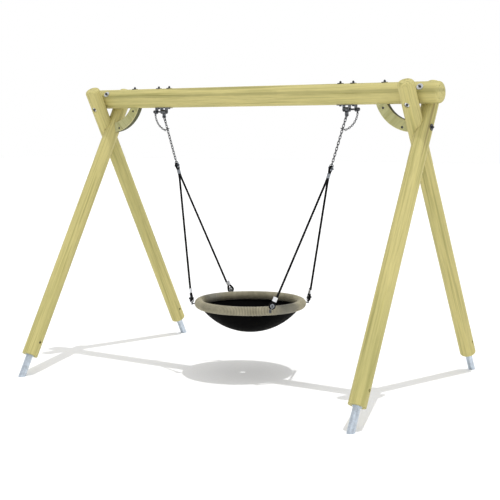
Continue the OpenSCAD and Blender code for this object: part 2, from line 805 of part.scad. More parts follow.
// Flat eye that turns on the pivot pin and holds the top of the safety chain
module safety_eyes() {
    color(steel_color) both_sides() translate([hanger_x + safety_x, 0, 0]) difference() {
        union() {
            translate([0, 0, pivot_z]) rotate([0, 90, 0])
                cylinder(r = pivot_d / 2 + safety_eye_wall, h = safety_eye_t);
            translate([0, 0, pivot_z - safety_eye_drop]) rotate([0, 90, 0])
                cylinder(r = safety_eye_r, h = safety_eye_t);
            translate([0, -safety_eye_r, pivot_z - safety_eye_drop])
                cube([safety_eye_t, 2 * safety_eye_r, safety_eye_drop]);
        }
        translate([-1, 0, pivot_z]) rotate([0, 90, 0])
            cylinder(r = pivot_d / 2 + pivot_clearance, h = safety_eye_t + 2);
        translate([-1, 0, pivot_z - safety_eye_drop]) rotate([0, 90, 0])
            cylinder(r = safety_hole_r, h = safety_eye_t + 2);
    }
}

// Long link round the main chain that takes the safety chain's last link
module safety_joiners() {
    color(steel_color) both_sides() on_chain(joint_run)
        translate([(joiner_low + joiner_reach) / 2, 0, 0]) rotate([90, 0, 0]) rotate([0, 90, 0])
            link(joiner_d, joiner_reach - joiner_low, joiner_w);
}

// ---------- ropes ----------

module apex_shackles() {
    color(steel_color) both_sides() on_chain(apex_pin_run)
        bow(bow_d, apex_bow_w, apex_bow_in, apex_pin_r);
}

module apex_shackle_pins() {
    color(steel_color) both_sides() on_chain(apex_pin_run)
        bow_pin(bow_d, apex_bow_w, apex_pin_r);
}

module apex_eyes() {
    color(rope_color) both_sides() on_chain(apex_hole_run) mirror([0, 0, 1])
        rope(eye_points(), [1, 0, 0], rope_r);
}

module apex_thimbles() {
    color(steel_color) both_sides() on_chain(apex_hole_run) thimble();
}

module apex_ferrules() {
    color(steel_color) both_sides() on_chain(apex_end_run) ferrule();
}

// Turns a direction from a fixing's own frame
function turned(v) = [
    cos(rope_turn) * (cos(rope_tip) * v.x + sin(rope_tip) * v.z) - sin(rope_turn) * v.y,
    sin(rope_turn) * (cos(rope_tip) * v.x + sin(rope_tip) * v.z) + cos(rope_turn) * v.y,
    -sin(rope_tip) * v.x + cos(rope_tip) * v.z
];

// One suspension rope in the back right corner: up from the middle of the ring's ferrule to the
// middle of the apex ferrule, with a bend just below it
rope_start = fixing + turned([strand_y, 0, ring_ferrule_run + ferrule_len / 2 + 1]);
rope_out = fixing + turned([strand_y, 0, ring_ferrule_run + ferrule_len + 4]);
apex_up = [sin(hang_lean), 0, cos(hang_lean)];
bend_run = 40;
rope_corner = apex_end - bend_run / 2 * apex_up;
straight_way = (rope_corner - rope_out) / norm(rope_corner - rope_out);

function rope_points() = concat(
    [rope_start, rope_out],
    [
        for (t = [0 : 0.125 : 1]) let (a = rope_corner - bend_run * straight_way)
            (1 - t) * (1 - t) * a + 2 * t * (1 - t) * rope_corner + t * t * (apex_end - gap * apex_up)
    ],
    [apex_end + ferrule_len / 2 * apex_up]
);

module suspension_rope() {
    bend_normal = cross(straight_way, apex_up);
    color(rope_color) rope(rope_points(), bend_normal / norm(bend_normal), rope_r);
}

// In a fixing the rope's eye is in the XZ plane, beside the level pin along Y
module in_fixing(run) {
    at_fixing(run) rotate([0, 0, 90]) children();
}

module rope_eyes() {
    color(rope_color) four_corners() in_fixing(ring_hole_run) rope(eye_points(), [1, 0, 0], rope_r);
}

module rope_thimbles() {
    color(steel_color) four_corners() in_fixing(ring_hole_run) thimble();
}

module rope_ferrules() {
    color(steel_color) four_corners() in_fixing(ring_ferrule_run) ferrule();
}

module ring_shackles() {
    color(steel_color) four_corners() in_fixing(small_pin_run) mirror([0, 0, 1])
        bow(small_bow_d, small_bow_w, small_pin_run - small_bow_d / 2, small_pin_r);
}

module ring_shackle_pins() {
    color(steel_color) four_corners() in_fixing(small_pin_run)
        bow_pin(small_bow_d, small_bow_w, small_pin_r);
}

// Upright lug on a stud that is welded to the ring's tube
module ring_lugs() {
    stud_down = fixing_z - ring_height;
    color(steel_color) four_corners() difference() {
        translate(fixing) rotate([0, 0, rope_turn]) {
            for (down = [0, stud_down]) translate([0, lug_t / 2, -down]) rotate([90, 0, 0])
                cylinder(r = lug_r, h = lug_t);
            translate([-lug_r, -lug_t / 2, -stud_down]) cube([2 * lug_r, lug_t, stud_down]);
            translate([0, 0, -stud_down]) rotate([90, 0, 0]) cylinder(r = stud_r, h = fixing_r);
        }
        translate(fixing) rotate([0, 0, rope_turn]) rotate([90, 0, 0])
            cylinder(r = small_bow_d / 2 + 1, h = 4 * lug_t, center = true);
        translate([0, 0, ring_height]) cylinder(r = ring_r, h = 4 * core_d, center = true);
        translate([0, 0, ring_height]) rotate_extrude($fn = 128) translate([ring_r, 0]) circle(core_r);
    }
}

// ---------- nest ----------

module ring_tube(outer_r, inner_r) {
    translate([0, 0, ring_height]) rotate_extrude($fn = 128) translate([ring_r, 0]) difference() {
        circle(outer_r);
        circle(inner_r);
    }
}

// Way through the padding and the winding for the stud of each lug
module stud_holes() {
    four_corners() translate([fixing.x, fixing.y, ring_height]) rotate([0, 0, rope_turn])
        rotate([90, 0, 0]) cylinder(r = stud_r + gap, h = 2 * section_r);
}

module ring_core() {
    color(steel_color) ring_tube(core_r, core_r - core_wall);
}

module ring_padding() {
    color("dimgray") difference() {
        ring_tube(padding_r, core_r);
        stud_holes();
    }
}

module ring_winding() {
    color([0.62, 0.58, 0.48]) difference() {
        ring_tube(section_r, padding_r);
        stud_holes();
    }
}

module basket() {
    color(rope_color) difference() {
        rotate_extrude($fn = 128) intersection() {
            translate([0, basket_floor_z + basket_ball_r]) difference() {
                circle(basket_ball_r, $fn = 256);
                circle(basket_ball_r - basket_wall, $fn = 256);
            }
            translate([0, basket_floor_z - 1]) square([ring_r, basket_rise + 1]);
        }
        translate([0, 0, ring_height]) rotate_extrude($fn = 128)
            translate([ring_r, 0]) circle(section_r + gap);
        translate([0, 0, basket_floor_z - 1]) cylinder(d = drain_d, h = 2 * basket_wall + 2);
    }
}

beam();
rotate([0, 0, 180]) leg(1);  // leg_left_front
rotate([0, 0, 180]) leg(-1);  // leg_left_back
leg(-1);  // leg_right_front
leg(1);  // leg_right_back
rotate([0, 0, 180]) foot(1);  // foot_left_front
rotate([0, 0, 180]) foot(-1);  // foot_left_back
foot(-1);  // foot_right_front
foot(1);  // foot_right_back
foot_bolts();
foot_nuts();
rotate([0, 0, 180]) brace();  // brace_left
brace();  // brace_right
saddle_bolts();
saddle_head_washers();
saddle_washers();
saddle_nuts();
crossing_bolts();
crossing_washers();
brace_bolts();
brace_washers();
brace_nuts();
barrel_nuts();
mirror([1, 0, 0]) bracket();  // hanger_bracket_left
bracket();  // hanger_bracket_right
hanger_bolts();
hanger_washers();
hanger_nuts();
pivot_pins();
pivot_nuts();
mirror([1, 0, 0]) swivel();  // swivel_left
swivel();  // swivel_right
swivel_bushes();
hanger_shackles();
hanger_shackle_pins();
mirror([1, 0, 0]) chain();  // chain_left
chain();  // chain_right
safety_eyes();
mirror([1, 0, 0]) safety_chain();  // safety_chain_left
safety_chain();  // safety_chain_right
safety_joiners();
apex_shackles();
apex_shackle_pins();
apex_eyes();
apex_thimbles();
apex_ferrules();
mirror([1, 0, 0]) mirror([0, 1, 0]) suspension_rope();  // rope_left_front
mirror([1, 0, 0]) suspension_rope();  // rope_left_back
mirror([0, 1, 0]) suspension_rope();  // rope_right_front
suspension_rope();  // rope_right_back
rope_eyes();
rope_thimbles();
rope_ferrules();
ring_shackles();
ring_shackle_pins();
ring_lugs();
ring_core();
ring_padding();
ring_winding();
basket();
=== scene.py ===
"""Nest swing: timber frame with two bearing hangers, chains, ropes and a rope-wound ring with a bowl.

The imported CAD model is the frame, in metres: +X along the beam, +Z up, the ground at z = 0.
Timber, steel and chain are the CAD nodes with procedural materials. The ropes, their eyes, the
winding on the ring and the bowl are modelled here in full detail.
"""
import json
import math

import bmesh
import bpy
import numpy as np
from mathutils import Matrix, Vector


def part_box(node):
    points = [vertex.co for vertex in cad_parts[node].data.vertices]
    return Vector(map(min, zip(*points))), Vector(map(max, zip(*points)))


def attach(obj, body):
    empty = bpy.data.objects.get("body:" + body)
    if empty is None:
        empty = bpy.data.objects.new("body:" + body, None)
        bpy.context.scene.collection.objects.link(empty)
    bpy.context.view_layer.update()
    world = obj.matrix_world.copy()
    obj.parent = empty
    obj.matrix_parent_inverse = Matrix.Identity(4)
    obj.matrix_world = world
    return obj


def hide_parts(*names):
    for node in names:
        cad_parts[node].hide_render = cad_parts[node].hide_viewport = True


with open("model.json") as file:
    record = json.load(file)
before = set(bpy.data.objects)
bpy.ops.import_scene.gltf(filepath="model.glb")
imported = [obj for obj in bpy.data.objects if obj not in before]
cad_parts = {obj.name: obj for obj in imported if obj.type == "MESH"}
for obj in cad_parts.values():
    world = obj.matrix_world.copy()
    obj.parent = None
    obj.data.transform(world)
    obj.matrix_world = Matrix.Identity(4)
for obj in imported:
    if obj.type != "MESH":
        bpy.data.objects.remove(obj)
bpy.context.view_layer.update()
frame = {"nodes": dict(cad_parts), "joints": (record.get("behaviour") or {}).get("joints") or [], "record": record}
nodes = frame["nodes"]
scene = bpy.context.scene

SIDES = {"left": -1, "right": 1}
ENDS = {"front": -1, "back": 1}


# ---------- camera ----------

CAMERA_PLACE = (5.266, -8.032, 2.158)
CAMERA_DIP = 2.29
CAMERA_TURN = 33.27


def make_camera():
    data = bpy.data.cameras.new("Camera")
    camera = bpy.data.objects.new("Camera", data)
    scene.collection.objects.link(camera)
    camera.location = CAMERA_PLACE
    camera.rotation_euler = (math.radians(90 - CAMERA_DIP), 0, math.radians(CAMERA_TURN))
    data.lens = 77.48
    data.sensor_width = 36
    data.shift_y = -0.149
    data.clip_end = 100
    scene.camera = camera


make_camera()


# ---------- places, worked out as the CAD source does, in metres ----------

PIVOT = Vector(frame["joints"][0]["pos_m"])
# from a pivot pin down to the swivel's eye
EYE_DROP = 0.047
BEAM_Z = 2.480
HANGER_X = 0.970
EYE_Z = PIVOT.z - EYE_DROP
ROPE_D = 0.018
ROPE_R = ROPE_D / 2
# drawn 8% fuller than its real size, because thin dark ropes look thinner than they are in a render
LAID_R = 1.08 * ROPE_R
THIMBLE_R = 0.010
THIMBLE_WALL = 0.0025
EYE_BEND = THIMBLE_R + THIMBLE_WALL + ROPE_R
EYE_RUN = 0.042
FERRULE = 0.040
# half the distance between the two strands in a ferrule
STRAND_Y = ROPE_R + 0.00025
RING_Z = 0.630
RING_R = 0.460
SECTION_R = 0.040
FIX_ANGLE = math.radians(38)
FIX_R = 0.524
FIX_RISE = 0.012
FIXING = Vector((FIX_R * math.cos(FIX_ANGLE), FIX_R * math.sin(FIX_ANGLE), RING_Z + FIX_RISE))
HANG_LEAN = math.atan2(HANGER_X - FIXING.x, EYE_Z - FIXING.z)
CHAIN_UP = Vector((math.sin(HANG_LEAN), 0, math.cos(HANG_LEAN)))
# shackle pins, from the swivel's eye down the chain and from a fixing up the rope
SHACKLE_PIN_R = 0.005
APEX_PIN_RUN = 0.4774
APEX_PIN_PLAY = 0.0015
RING_PIN_RUN = 0.0381
RING_PIN_PLAY = 0.0006
APEX_HOLE_RUN = APEX_PIN_RUN + THIMBLE_R - SHACKLE_PIN_R - APEX_PIN_PLAY
APEX_END_RUN = APEX_HOLE_RUN + EYE_RUN + FERRULE
APEX_END = Vector((HANGER_X, STRAND_Y, EYE_Z)) - APEX_END_RUN * CHAIN_UP
RING_HOLE_RUN = RING_PIN_RUN - SHACKLE_PIN_R - RING_PIN_PLAY + THIMBLE_R
ROPE_WAY = (APEX_END - FIXING).normalized()
RING_FERRULE_RUN = RING_HOLE_RUN + EYE_RUN
# a fixing's own frame, with Z along its rope
AT_FIXING = (
    Matrix.Translation(FIXING)
    @ Matrix.Rotation(math.atan2(ROPE_WAY.y, ROPE_WAY.x), 4, "Z")
    @ Matrix.Rotation(math.acos(ROPE_WAY.z), 4, "Y")
)


def mirrored(points, side, end):
    return [Vector((p.x * side, p.y * end, p.z)) for p in points]


# ---------- materials ----------

class Shade:
    """A small builder for one node material."""

    def __init__(self, name):
        self.material = bpy.data.materials.new(name)
        self.material.use_nodes = True
        self.tree = self.material.node_tree
        self.shader = self.tree.nodes["Principled BSDF"]

    def node(self, kind, **inputs):
        made = self.tree.nodes.new(kind)
        for key, value in inputs.items():
            name = key.replace("_", " ")
            if name in made.inputs:
                self.feed(made.inputs[name], value)
            else:
                setattr(made, key, value)
        return made

    def feed(self, socket, value):
        if isinstance(value, bpy.types.NodeSocket):
            self.tree.links.new(value, socket)
        elif hasattr(value, "outputs"):
            self.tree.links.new(value.outputs[0], socket)
        else:
            socket.default_value = value

    def put(self, name, value):
        self.feed(self.shader.inputs[name], value)

    def place(self, scale=(1, 1, 1), turn=(0, 0, 0)):
        """Object coordinates, scaled after a turn."""
        where = self.node("ShaderNodeTexCoord").outputs["Object"]
        turned = self.node("ShaderNodeMapping", Vector=where)
        turned.inputs["Rotation"].default_value = turn
        scaled = self.node("ShaderNodeVectorMath", operation="MULTIPLY")
        self.feed(scaled.inputs[0], turned)
        scaled.inputs[1].default_value = scale
        return scaled

    def noise(self, vector, scale, detail=3, rough=0.55, distort=0.0):
        made = self.node("ShaderNodeTexNoise")
        self.feed(made.inputs["Vector"], vector)
        made.inputs["Scale"].default_value = scale
        made.inputs["Detail"].default_value = detail
        made.inputs["Roughness"].default_value = rough
        made.inputs["Distortion"].default_value = distort
        return made

    def ramp(self, factor, stops, smooth=False):
        made = self.node("ShaderNodeValToRGB")
        self.feed(made.inputs["Fac"], factor)
        if smooth:
            made.color_ramp.interpolation = "EASE"
        elements = made.color_ramp.elements
        while len(elements) < len(stops):
            elements.new(0.5)
        for element, (at, colour) in zip(elements, stops):
            element.position = at
            element.color = (*colour, 1) if len(colour) == 3 else colour
        return made

    def mix(self, factor, a, b, how="MIX"):
        made = self.node("ShaderNodeMix", data_type="RGBA", blend_type=how)
        self.feed(made.inputs["Factor"], factor)
        self.feed(made.inputs["A"], a)
        self.feed(made.inputs["B"], b)
        return made.outputs["Result"]

    def math(self, how, a, b=0.0):
        made = self.node("ShaderNodeMath", operation=how)
        self.feed(made.inputs[0], a)
        self.feed(made.inputs[1], b)
        return made.outputs[0]

    def span(self, value, low, high, out_low=0.0, out_high=1.0):
        made = self.node("ShaderNodeMapRange")
        self.feed(made.inputs["Value"], value)
        made.inputs["From Min"].default_value = low
        made.inputs["From Max"].default_value = high
        made.inputs["To Min"].default_value = out_low
        made.inputs["To Max"].default_value = out_high
        return made.outputs["Result"]

    def bump(self, height, strength, distance):
        made = self.node("ShaderNodeBump")
        self.feed(made.inputs["Height"], height)
        made.inputs["Strength"].default_value = strength
        made.inputs["Distance"].default_value = distance
        self.put("Normal", made.outputs["Normal"])


def grey(value):
    return (value, value, value)


PALE_WOOD = (0.54, 0.480, 0.195)
SHADED_WOOD = (0.35, 0.320, 0.110)


def wood(name, turn, seed=0.0, light=PALE_WOOD, dark=SHADED_WOOD, painted_light=None):
    """Pressure-treated pine. turn brings the grain's own direction onto Z. The last argument, where given, lays
    painted shade and highlight over the grain.
    """
    s = Shade(name)
    along = s.place((1, 1, 0.022), turn)
    moved = s.node("ShaderNodeVectorMath", operation="ADD")
    s.feed(moved.inputs[0], along)
    moved.inputs[1].default_value = (seed, 2.3 * seed, 0.7 * seed)
    broad = s.noise(moved, 30, 2, 0.5, 0.3)
    fine = s.noise(moved, 95, 4, 0.6, 0.2)
    fibre = s.noise(moved, 420, 2, 0.7)
    blotch = s.noise(s.place((1, 1, 0.35), turn), 3.2, 2, 0.5)
    tone = s.ramp(broad.outputs["Fac"], [(0.30, dark), (0.47, light), (0.58, light), (0.75, dark)], True)
    streak = s.ramp(
        fine.outputs["Fac"], [(0.30, (0.66, 0.67, 0.56)), (0.50, (1, 1, 1)), (0.78, (1.06, 1.04, 0.96))]
    )
    colour = s.mix(0.8, tone.outputs["Color"], streak.outputs["Color"], "MULTIPLY")
    olive = s.span(blotch.outputs["Fac"], 0.48, 0.72, 0.0, 0.45)
    colour = s.mix(olive, colour, (0.38, 0.36, 0.130, 1))
    hair = s.span(fibre.outputs["Fac"], 0.35, 0.65, 0.90, 1.05)
    colour = s.mix(1.0, colour, hair, "MULTIPLY")
    colour = dark_streaks(s, moved, colour)
    # where given, painted shade and highlight over the wood's own colour
    if painted_light:
        colour = painted_light(s, colour)
    s.put("Base Color", colour)
    s.put("Roughness", s.span(fine.outputs["Fac"], 0.3, 0.7, 0.55, 0.74))
    s.shader.inputs["Specular IOR Level"].default_value = 0.35
    deep = s.math("MULTIPLY", fine.outputs["Fac"], 0.7)
    shallow = s.math("MULTIPLY", fibre.outputs["Fac"], 0.3)
    s.bump(s.math("ADD", deep, shallow), 0.5, 0.0012)
    return s.material


def dark_streaks(s, vector, colour):
    """Dark streaks here and there, as long as the vector is drawn out along the grain."""
    cells = s.node("ShaderNodeTexVoronoi")
    s.feed(cells.inputs["Vector"], vector)
    cells.inputs["Scale"].default_value = 4.2
    spot = s.span(cells.outputs["Distance"], 0.020, 0.060, 0.55, 0.0)
    return s.mix(spot, colour, (0.19, 0.14, 0.06, 1))


# how far the beam's painted shade band is above its middle
SHADE_BAND_RISE = 0.018


def beam_shade_band(s, colour):
    """Painted shade: a dark olive band along the beam, a little above its middle."""
    parts = s.node("ShaderNodeSeparateXYZ")
    s.feed(parts.inputs[0], s.node("ShaderNodeTexCoord").outputs["Object"])
    off = s.math("ABSOLUTE", s.math("SUBTRACT", parts.outputs["Z"], BEAM_Z + SHADE_BAND_RISE))
    broken = s.noise(s.place((0.6, 1, 1)), 9, 3, 0.6)
    width = s.span(broken.outputs["Fac"], 0.3, 0.7, 0.010, 0.020)
    # painted shade, strongest along the middle of the band
    stain_and_shade = s.span(s.math("DIVIDE", off, width), 0.5, 1.4, 0.34, 0.0)
    return s.mix(stain_and_shade, colour, (0.16, 0.16, 0.05, 1))


def brace_painted_light(s, colour):
    """Painted light: dark olive painted shade on the faces along the arcs, and a pale painted highlight on the
    edges beside the flat sides.
    """
    parts = s.node("ShaderNodeSeparateXYZ")
    s.feed(parts.inputs[0], s.node("ShaderNodeTexCoord").outputs["Normal"])
    flat = s.math("ABSOLUTE", parts.outputs["Y"])
    # painted shade on the faces along the arcs
    arc_shade = s.span(flat, 0.40, 0.50, 0.94, 0.0)
    # painted highlight on the edges beside the flat sides
    edge_highlight = s.math("MULTIPLY", s.span(flat, 0.45, 0.55), s.span(flat, 0.85, 0.95, 0.7, 0.0))
    return s.mix(edge_highlight, s.mix(arc_shade, colour, (0.055, 0.060, 0.018, 1)), (0.55, 0.50, 0.27, 1))


def metal(name, colour, rough, speckle=26.0, vary=0.18, rust=0.0):
    """Plated or galvanised steel with a mottled surface."""
    s = Shade(name)
    at = s.place()
    spangle = s.node("ShaderNodeTexVoronoi")
    s.feed(spangle.inputs["Vector"], at)
    spangle.inputs["Scale"].default_value = speckle * 4
    cloud = s.noise(at, speckle, 4, 0.6)
    low = tuple(c * (1 - vary) for c in colour)
    high = tuple(min(1, c * (1 + vary)) for c in colour)
    shade = s.ramp(cloud.outputs["Fac"], [(0.32, low), (0.68, high)])
    grain = s.span(spangle.outputs["Color"], 0.0, 1.0, 0.90, 1.06)
    tint = s.mix(1.0, shade.outputs["Color"], grain, "MULTIPLY")
    if rust:
        stain_and_shade = s.span(s.noise(at, 60, 5, 0.7).outputs["Fac"], 0.60, 0.72, 0.0, rust)
        tint = s.mix(stain_and_shade, tint, (0.20, 0.11, 0.06, 1))
    s.put("Base Color", tint)
    s.shader.inputs["Metallic"].default_value = 1.0
    s.put("Roughness", s.span(cloud.outputs["Fac"], 0.3, 0.7, rough - 0.08, rough + 0.10))
    s.bump(cloud.outputs["Fac"], 0.25, 0.0004)
    return s.material


def rope_material(name, colour, sheen):
    s = Shade(name)
    at = s.place()
    fluff = s.noise(at, 900, 3, 0.7)
    dust = s.noise(at, 24, 3, 0.6)
    low = tuple(0.7 * c for c in colour)
    base = s.ramp(fluff.outputs["Fac"], [(0.35, low), (0.65, colour)])
    worn = s.span(dust.outputs["Fac"], 0.5, 0.8, 0.0, 0.35)
    s.put("Base Color", s.mix(worn, base.outputs["Color"], tuple(1.6 * c for c in colour) + (1,)))
    s.shader.inputs["Roughness"].default_value = 0.78
    s.shader.inputs["Specular IOR Level"].default_value = 0.10
    s.shader.inputs["Sheen Weight"].default_value = sheen
    s.shader.inputs["Sheen Roughness"].default_value = 0.5
    s.bump(fluff.outputs["Fac"], 0.5, 0.0005)
    return s.material


def winding_material():
    """Khaki rope, with painted shade in its grooves and painted highlight on its ridges, and a grey painted shadow
    of the beam across it at the back left and the front right.
    """
    s = Shade("winding_khaki")
    at = s.place()
    fluff = s.noise(at, 700, 3, 0.7)
    cloud = s.noise(at, 9, 3, 0.6)
    base = s.ramp(cloud.outputs["Fac"], [(0.32, (0.215, 0.195, 0.125)), (0.68, (0.330, 0.300, 0.205))])
    hairs = s.span(fluff.outputs["Fac"], 0.3, 0.7, 0.80, 1.12)
    colour = s.mix(1.0, base.outputs["Color"], hairs, "MULTIPLY")
    ridge = s.node("ShaderNodeAttribute", attribute_name="ridge_height")
    # painted shade in the grooves between turns, painted highlight on the ridge tops
    colour = s.mix(1.0, colour, s.span(ridge.outputs["Fac"], 0.0, 0.9, 0.12, 1.22), "MULTIPLY")
    parts = s.node("ShaderNodeSeparateXYZ")
    s.feed(parts.inputs[0], s.node("ShaderNodeTexCoord").outputs["Object"])
    around = s.math("ARCTAN2", parts.outputs["Y"], parts.outputs["X"])
    # painted shadow of the beam, grey, where its shadow crosses the ring at the back left and the front right
    for middle in (math.radians(178), math.radians(-15)):
        off = s.math("SUBTRACT", around, middle)
        beam_shadow = s.span(s.math("COSINE", off), math.cos(0.34), math.cos(0.10), 0.0, 0.55)
        colour = s.mix(beam_shadow, colour, (0.115, 0.118, 0.112, 1))
    s.put("Base Color", colour)
    s.shader.inputs["Roughness"].default_value = 0.82
    s.shader.inputs["Sheen Weight"].default_value = 0.25
    s.bump(fluff.outputs["Fac"], 0.5, 0.0006)
    return s.material


def bowl_material():
    """Matt black membrane with a fine weave and faint dust."""
    s = Shade("bowl_black")
    at = s.place()
    weave_x = s.node("ShaderNodeTexWave", bands_direction="X")
    weave_y = s.node("ShaderNodeTexWave", bands_direction="Y")
    for weave in (weave_x, weave_y):
        s.feed(weave.inputs["Vector"], at)
        weave.inputs["Scale"].default_value = 60
        weave.inputs["Distortion"].default_value = 0.4
    dust = s.noise(at, 14, 4, 0.6)
    tone = s.ramp(dust.outputs["Fac"], [(0.35, grey(0.0010)), (0.70, grey(0.0026))])
    s.put("Base Color", tone.outputs["Color"])
    s.put("Roughness", s.span(dust.outputs["Fac"], 0.3, 0.7, 0.55, 0.72))
    s.shader.inputs["Specular IOR Level"].default_value = 0.015
    height = s.math("MULTIPLY", weave_x.outputs["Fac"], weave_y.outputs["Fac"])
    s.bump(height, 0.25, 0.0008)
    return s.material


def plain_noise(name, colour, rough, scale=80.0):
    """Moulded plastic or foam."""
    s = Shade(name)
    grain = s.noise(s.place(), scale, 3, 0.6)
    low = tuple(0.85 * c for c in colour)
    s.put("Base Color", s.ramp(grain.outputs["Fac"], [(0.35, low), (0.65, colour)]).outputs["Color"])
    s.put("Roughness", s.span(grain.outputs["Fac"], 0.3, 0.7, rough - 0.06, rough + 0.06))
    s.bump(grain.outputs["Fac"], 0.2, 0.0004)
    return s.material


def paint(name, material):
    data = nodes[name].data
    data.materials.clear()
    data.materials.append(material)


LEG_LEAN = math.radians(29.59)


def lean_of(end):
    """How far a leg's axis is turned about X from upright: the front legs lean back."""
    return LEG_LEAN if end < 0 else -LEG_LEAN


def paint_timber():
    paint("beam", wood("wood_beam", (0, math.radians(-90), 0), 3.1, painted_light=beam_shade_band))
    for side_name, side in SIDES.items():
        for end_name, end in ENDS.items():
            turn = (lean_of(end), 0, 0)
            name = f"leg_{side_name}_{end_name}"
            paint(name, wood(f"wood_{name}", turn, 1.7 * side + 0.9 * end + 5))
        grain = (0, side * math.radians(-45), 0)
        paint(
            f"brace_{side_name}",
            wood(
                f"wood_brace_{side_name}", grain, 9 + side,
                (0.42, 0.41, 0.205), (0.33, 0.32, 0.140), brace_painted_light,
            ),
        )


def paint_steel():
    galvanised = metal("galvanised", (0.52, 0.58, 0.65), 0.42)
    washers = metal("washer_zinc", (0.66, 0.68, 0.70), 0.36, 60)
    bolts = metal("bolt_steel", (0.070, 0.072, 0.078), 0.34, 60, 0.6)
    hangers = metal("hanger_steel", (0.105, 0.110, 0.120), 0.30, 45, 0.75)
    chain = metal("chain_zinc", (0.095, 0.098, 0.104), 0.24, 45, 0.7, rust=0.2)
    thimbles = metal("thimble_zinc", (0.27, 0.29, 0.32), 0.36, 60, 0.45)
    aluminium = metal("ferrule_aluminium", (0.70, 0.71, 0.74), 0.30, 120, 0.10)
    slots = {
        "galvanised": galvanised,
        "bolt_steel": bolts,
        "hanger_steel": hangers,
        "chain_steel": chain,
        "bush_plastic": plain_noise("bush_plastic", (0.62, 0.62, 0.58), 0.45),
        "ferrule_aluminium": aluminium,
        "padding_foam": plain_noise("padding_foam", (0.03, 0.03, 0.03), 0.9, 300),
    }
    for part in frame["record"]["subparts"]:
        if part["material_slot"] in slots:
            paint(part["node"], slots[part["material_slot"]])
    for name in ("saddle_washers", "saddle_head_washers"):
        paint(name, washers)
    for name in ("hanger_washers", "crossing_washers", "brace_washers"):
        paint(name, bolts)
    for name in ("apex_thimbles", "rope_thimbles", "apex_ferrules", "apex_shackles"):
        paint(name, thimbles)
    for name in ("ring_shackles", "ring_shackle_pins", "ring_lugs", "apex_shackle_pins"):
        paint(name, hangers)


# ---------- ropes ----------

def across_of(points):
    """A normal to the route's plane at each point, carried along it without twist."""
    start = (points[1] - points[0]).normalized()
    side = start.orthogonal().normalized()
    sides = [side]
    for i in range(1, len(points)):
        ahead = points[min(i + 1, len(points) - 1)] - points[max(i - 1, 0)]
        side = (side - side.project(ahead)).normalized()
        sides.append(side)
    return sides


def evenly(points, step):
    """The same route with its points a step apart."""
    table = np.array([tuple(p) for p in points])
    run = np.concatenate([[0], np.cumsum(np.linalg.norm(np.diff(table, axis=0), axis=1))])
    count = max(2, int(round(run[-1] / step)) + 1)
    at = np.linspace(0, run[-1], count)
    return [Vector(p) for p in np.stack([np.interp(at, run, table[:, k]) for k in range(3)], axis=1)]


def strand_rope(name, points, radius, material, strands=6, lay=0.095, sides=8, step=0.004):
    """Laid rope along a route: strands that wind round each other, capped at both ends."""
    line = evenly(points, step)
    sides_of = across_of(line)
    core = radius / (1 + math.sin(math.pi / strands))
    fat = (radius - core) * 1.06
    verts, faces = [], []
    for strand in range(strands):
        base = len(verts)
        for i, p in enumerate(line):
            ahead = (line[min(i + 1, len(line) - 1)] - line[max(i - 1, 0)]).normalized()
            u = sides_of[i]
            w = ahead.cross(u)
            angle = 2 * math.pi * (i * step / lay + strand / strands)
            out = math.cos(angle) * u + math.sin(angle) * w
            middle = p + core * out
            side = ahead.cross(out)
            for k in range(sides):
                turn = 2 * math.pi * k / sides
                verts.append(middle + fat * (math.cos(turn) * out + math.sin(turn) * side))
        for i in range(len(line) - 1):
            for k in range(sides):
                a = base + i * sides + k
                b = base + i * sides + (k + 1) % sides
                faces.append((a, b, b + sides, a + sides))
        last = base + (len(line) - 1) * sides
        faces.append(tuple(base + k for k in reversed(range(sides))))
        faces.append(tuple(last + k for k in range(sides)))
    return add_mesh(name, verts, faces, material)


def add_mesh(name, verts, faces, material):
    mesh = bpy.data.meshes.new(name)
    mesh.from_pydata([tuple(v) for v in verts], [], faces)
    mesh.update()
    made = bpy.data.objects.new(name, mesh)
    scene.collection.objects.link(made)
    mesh.polygons.foreach_set("use_smooth", [True] * len(mesh.polygons))
    mesh.materials.append(material)
    return made


def eye_points():
    """A rope eye in the YZ plane: the thimble at the origin and the ferrule above it."""
    spread = EYE_BEND * math.cos(math.radians(30))
    drop = EYE_BEND * math.sin(math.radians(30))

    def leg(side):
        points = []
        for i in range(9):
            t = i / 9
            ease = t * t * (3 - 2 * t)
            y = STRAND_Y + (spread - STRAND_Y) * ease
            points.append(Vector((0, side * y, EYE_RUN + (drop - EYE_RUN) * t)))
        return points

    bend = []
    for i in range(33):
        a = math.radians(-30 + 7.5 * i)
        bend.append(Vector((0, EYE_BEND * math.cos(a), -EYE_BEND * math.sin(a))))
    high = EYE_RUN + FERRULE / 2
    return (
        [Vector((0, STRAND_Y, high))] + leg(1) + bend + list(reversed(leg(-1)))
        + [Vector((0, -STRAND_Y, high))]
    )


ROPE_START = 0.001
ROPE_CLEAR = 0.004


def ropes(material):
    """The four suspension ropes, from the ring's ferrules up to the apex ferrules."""
    # just past the end of the eye's strand, and just past the ferrule
    start = AT_FIXING @ Vector((STRAND_Y, 0, RING_FERRULE_RUN + FERRULE / 2 + ROPE_START))
    clear = AT_FIXING @ Vector((STRAND_Y, 0, RING_FERRULE_RUN + FERRULE + ROPE_CLEAR))
    bend = 0.040
    corner = APEX_END - bend / 2 * CHAIN_UP
    low = corner - bend * (corner - clear).normalized()
    curve = [
        (1 - t) ** 2 * low + 2 * t * (1 - t) * corner + t * t * APEX_END
        for t in (i / 8 for i in range(9))
    ]
    points = [start, clear] + curve + [APEX_END + FERRULE / 2 * CHAIN_UP]
    for side_name, side in SIDES.items():
        for end_name, end in ENDS.items():
            path = mirrored(points, side, end)
            name = f"suspension_rope_{side_name}_{end_name}"
            made = strand_rope(name, path, LAID_R, material)
            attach(made, "nest")
            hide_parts(f"rope_{side_name}_{end_name}")


